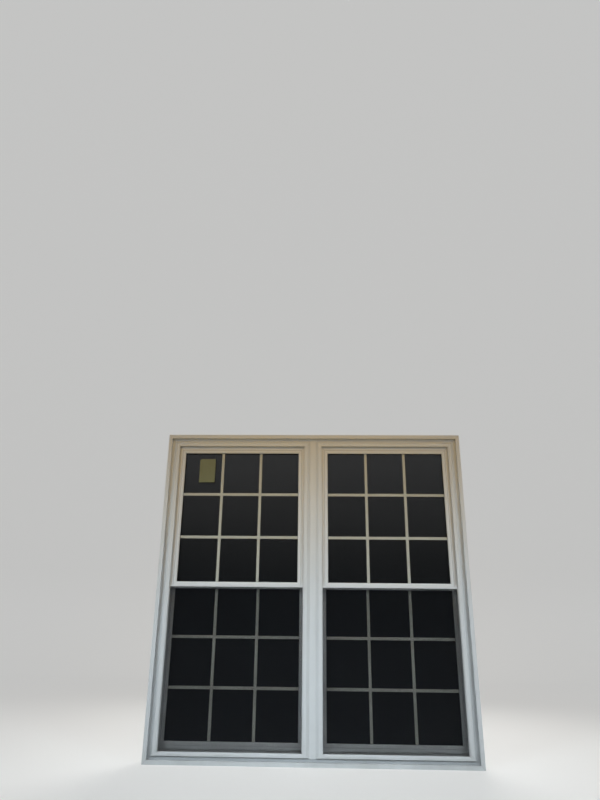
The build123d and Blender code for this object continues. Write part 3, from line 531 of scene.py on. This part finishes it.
spacer_bar = even_finish(
    "spacer_bar", dark=(0.30, 0.30, 0.30), light=(0.38, 0.38, 0.38), roughness=(0.38, 0.5),
    clouds=(500.0, 2.0), grain=(1500.0, 1.0), relief=0.00005, Metallic=0.7,
)
grille_paint = even_finish(
    "grille_paint", dark=(0.62, 0.62, 0.54), light=(0.68, 0.68, 0.60), roughness=(0.40, 0.52),
    clouds=(40.0, 4.0), grain=(700.0, 2.0), relief=0.00002, Specular_IOR_Level=0.4,
)
for level, split in PANE_SPLIT.items():
    glass = two_panes(f"{level}_glass", split)
    for unit in UNITS:
        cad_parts[f"{unit}_{level}_glass"].material_slots[0].material = glass
        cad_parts[f"{unit}_{level}_spacer"].material_slots[0].material = spacer_bar
        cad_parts[f"{unit}_{level}_grille"].material_slots[0].material = grille_paint

# The gaskets: a soft grey lip along the glass, outside where the beads press on the outer pane and
# inside where the sash's leg meets the inner one. Each runs round its sash in one mitred loop.
GASKET_SIDE = 0.0016
GASKET_RISE = 0.0012
GASKET_REST = 0.00005
GASKET_LIP = np.array([(0.0, 0.0), (0.0, 1.0), (0.35, 0.92), (0.7, 0.6), (1.0, 0.0)])
GLASS_FACES = {"lower": (0.012, 0.028), "upper": (-0.023, -0.007)}


def framed_loop(name, centre, half, foot, top, inset, depth):
    """A profile, an inset and a depth for each of its points, carried round a rectangle: at each of the
    four corners every point moves inwards by its inset along both axes, so that the runs meet in
    mitres. The last point joins the first, and the last corner joins the first, so the loop is closed."""
    sign = np.array([[-1, -1], [1, -1], [1, 1], [-1, 1]])
    x = centre + sign[:, :1] * (half - inset[None, :])
    z = (foot + top) / 2 + sign[:, 1:] * ((top - foot) / 2 - inset[None, :])
    points = np.stack([x, np.broadcast_to(depth, x.shape), z], axis=-1)
    piece = grid_mesh(name, np.concatenate([points, points[:1]]), wrap=True)
    shell = bmesh.new()
    shell.from_mesh(piece.data)
    bmesh.ops.remove_doubles(shell, verts=shell.verts, dist=1e-7)
    bmesh.ops.recalc_face_normals(shell, faces=shell.faces)
    shell.to_mesh(piece.data)
    shell.free()
    return piece


gasket_grey = even_finish(
    "gasket_grey", dark=(0.085, 0.088, 0.09), light=(0.13, 0.132, 0.135), roughness=(0.55, 0.72),
    clouds=(350.0, 3.0), grain=(2200.0, 1.0), relief=0.00003,
)
lip_inset = GASKET_REST + GASKET_SIDE * GASKET_LIP[:, 0]
lip_rise = GASKET_REST + GASKET_RISE * GASKET_LIP[:, 1]
for unit, centre in UNITS.items():
    for level, (outer_face, inner_face) in GLASS_FACES.items():
        for side, lip_depth in (("outer", outer_face - lip_rise), ("inner", inner_face + lip_rise)):
            name = f"{unit}_{level}_gasket_{side}"
            gasket = framed_loop(name, centre, *daylight(level), lip_inset, lip_depth)
            gasket.data.materials.append(gasket_grey)
            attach(gasket, f"{unit}_{level}_sash")

# The pivot bars at each sash's foot: zinc-plated steel. The tilt latches in its top rail: white
# moulded plastic with a ribbed grip.
zinc_plate = even_finish(
    "zinc_plate", dark=(0.46, 0.47, 0.47), light=(0.62, 0.62, 0.60), roughness=(0.30, 0.46),
    clouds=(220.0, 3.0), relief=0.00004, Metallic=1.0,
)
latch_plastic = even_finish(
    "latch_plastic", dark=(0.66, 0.67, 0.66), light=(0.72, 0.72, 0.71), roughness=(0.34, 0.46),
    clouds=(90.0, 3.0), grain=(1400.0, 2.0), relief=0.00003,
)
for unit in UNITS:
    for level in LEVELS:
        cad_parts[f"{unit}_{level}_pivot_bars"].material_slots[0].material = zinc_plate
        for side in ("left", "right"):
            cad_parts[f"{unit}_{level}_latch_{side}"].material_slots[0].material = latch_plastic

# The locks on the meeting rails: die-cast zinc, painted white, screwed to the lower sash, with their
# keepers on the upper one. Between the rails lies a strip of grey pile.
lock_paint = even_finish(
    "lock_paint", dark=(0.68, 0.69, 0.68), light=(0.74, 0.745, 0.74), roughness=(0.24, 0.36),
    clouds=(260.0, 2.0), relief=0.00002, Coat_Weight=0.25,
)


def seal_tufts():
    """Matt grey pile: noise of tufts that stand along y and z, so it is 0.4 times as fine along them."""
    n = Nodes("seal_pile")
    x, y, z = n.axes()
    spot = n.point(x, n.sum("MULTIPLY", y, 0.4), n.sum("MULTIPLY", z, 0.4))
    tufts = n.noise(spot, scale=1300.0, detail=2.0, rough=0.7)
    n.put(Base_Color=n.blend(tufts, (0.16, 0.16, 0.16), (0.32, 0.32, 0.31)), Roughness=0.95, Sheen_Weight=0.4)
    n.bump(tufts, depth=0.0006)
    return n.material


seal_pile = seal_tufts()
for unit in UNITS:
    for part in ("lower_lock_housings", "lower_lock_cam_left", "lower_lock_cam_right", "upper_keepers"):
        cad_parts[f"{unit}_{part}"].material_slots[0].material = lock_paint
    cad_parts[f"{unit}_lower_meeting_seal"].material_slots[0].material = seal_pile

# The insect screens: roll-formed aluminium frames, painted white, that rest in the sill's groove, and
# a charcoal mesh of coated glass fibre, woven at 18 by 16 threads to the inch.
UPRIGHT_PITCH = 0.00141
LEVEL_PITCH = 0.00159
THREAD_RADIUS = 0.00021
THREAD_CROSSING = THREAD_RADIUS * 0.8
screen_paint = even_finish(
    "screen_paint", dark=(0.64, 0.65, 0.655), light=(0.70, 0.705, 0.71), roughness=(0.32, 0.44),
    clouds=(30.0, 4.0), grain=(800.0, 2.0), relief=0.00003,
)
screen_thread = even_finish(
    "screen_thread", dark=(0.007, 0.008, 0.010), light=(0.014, 0.016, 0.020), roughness=(0.50, 0.68),
    clouds=(1100.0, 2.0), Specular_IOR_Level=0.3,
)


def thread_points(low, high, pitch, along, depth):
    """Straight threads along one axis, 0 or 2, evenly spaced across the opening: each is a four-sided
    rod whose corners lie at 0, 90, 180 and 270 degrees round its line, closed at both ends by drawing
    its first and last ring together. Gives threads by 4 rings by 4 corners by 3."""
    across = 2 - along
    count = int((high[across] - low[across]) / pitch)
    line = low[across] + (np.arange(count) + 0.5) * (high[across] - low[across]) / count
    turn = np.arange(4) * math.pi / 2
    ends = np.array([low[along], low[along], high[along], high[along]])
    size = np.array([0.0, THREAD_RADIUS, THREAD_RADIUS, 0.0])
    points = np.zeros((count, len(ends), len(turn), 3))
    points[..., across] = line[:, None, None] + size[None, :, None] * np.cos(turn)[None, None, :]
    points[..., 1] = depth + size[None, :, None] * np.sin(turn)[None, None, :]
    points[..., along] = ends[None, :, None]
    return points


def thread_mesh(name, rods):
    """One piece from rods by rings by corners by 3: rings join their neighbours, corners wrap round."""
    index = np.arange(rods.size // 3).reshape(rods.shape[:3])
    after = np.roll(index, -1, axis=2)
    faces = np.stack([index[:, :-1], after[:, :-1], after[:, 1:], index[:, 1:]], axis=-1)
    return mesh_piece(name, rods, faces)


for unit in UNITS:
    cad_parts[f"{unit}_screen_frame"].material_slots[0].material = screen_paint
    low, high = (np.array(corner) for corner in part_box(f"{unit}_screen_mesh"))
    middle = (low[1] + high[1]) / 2
    upright_threads = thread_points(low, high, UPRIGHT_PITCH, along=2, depth=middle - THREAD_CROSSING)
    level_threads = thread_points(low, high, LEVEL_PITCH, along=0, depth=middle + THREAD_CROSSING)
    weave = thread_mesh(f"{unit}_screen_weave", np.concatenate([upright_threads, level_threads]))
    weave.data.materials.append(screen_thread)
    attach(weave, "frame")
    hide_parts(f"{unit}_screen_mesh")

# The splines that hold the mesh: a ribbed rubber cord to each screen, rolled into the groove in its
# back all the way round.
SPLINE_INSET = 0.0080
SPLINE_WIDTH = 0.0036
SPLINE_FOOT = -0.03228
SPLINE_RISE = 0.00020
SPLINE_CROWN = np.array([(0.0, 0.0), (0.15, 0.7), (0.5, 1.0), (0.85, 0.7), (1.0, 0.0)])
RIB_HALF_PITCH = 0.0006
RIB_RELIEF = 0.2


def ribbed_rubber():
    """Black rubber whose ribs rise and fall by the half pitch along x and z, times their relief."""
    n = Nodes("spline_rubber")
    x, _, z = n.axes()
    ribs = n.sum("PINGPONG", n.sum("ADD", x, z), RIB_HALF_PITCH)
    colour = n.blend(n.noise(n.where(), scale=400.0), (0.018, 0.018, 0.020), (0.032, 0.032, 0.034))
    n.put(Base_Color=colour, Roughness=n.ramp(ribs, start=0.0, end=RIB_HALF_PITCH, low=0.5, high=0.7))
    n.bump(ribs, RIB_RELIEF)
    return n.material


spline_rubber = ribbed_rubber()
crown_inset = SPLINE_INSET + SPLINE_WIDTH * SPLINE_CROWN[:, 0]
crown_depth = SPLINE_FOOT + SPLINE_RISE * SPLINE_CROWN[:, 1]
for unit, centre in UNITS.items():
    low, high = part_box(f"{unit}_screen_frame")
    half = (high[0] - low[0]) / 2
    spline = framed_loop(f"{unit}_screen_spline", centre, half, low[2], high[2], crown_inset, crown_depth)
    spline.data.materials.append(spline_rubber)
    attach(spline, "frame")

# A blank sticker on the outside of one upper pane: thin film, stuck on by hand, with its top left
# corner torn off.
LABEL_LEFT, LABEL_RIGHT = -0.712, -0.614
LABEL_FOOT, LABEL_TOP = 1.536, 1.684
LABEL_FACE = -0.0232
LABEL_CUT = 0.009


def label_points(columns, rows):
    """Column u runs from left to right and row v from foot to top. Near the top left corner the top
    edge drops by the cut times one minus the share of the cut's width."""
    u, v = np.meshgrid(np.linspace(0, 1, columns), np.linspace(0, 1, rows))
    x = LABEL_LEFT + u * (LABEL_RIGHT - LABEL_LEFT)
    drop = LABEL_CUT * np.clip(1 - (x - LABEL_LEFT) / LABEL_CUT, 0, 1)
    z = LABEL_FOOT + v * (LABEL_TOP - drop - LABEL_FOOT)
    return np.stack([x, np.full_like(x, LABEL_FACE), z], axis=-1)


label = grid_mesh("blank_label", label_points(columns=60, rows=60))
label_film = even_finish(
    "label_film", dark=(0.15, 0.16, 0.085), light=(0.20, 0.21, 0.12), roughness=(0.35, 0.5),
    clouds=(18.0, 4.0), grain=(60.0, 3.0), relief=0.0003,
)
label.data.materials.append(label_film)
thickness = label.modifiers.new("film", "SOLIDIFY")
thickness.thickness = 0.00015
thickness.offset = 0.0
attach(label, "left_upper_sash")
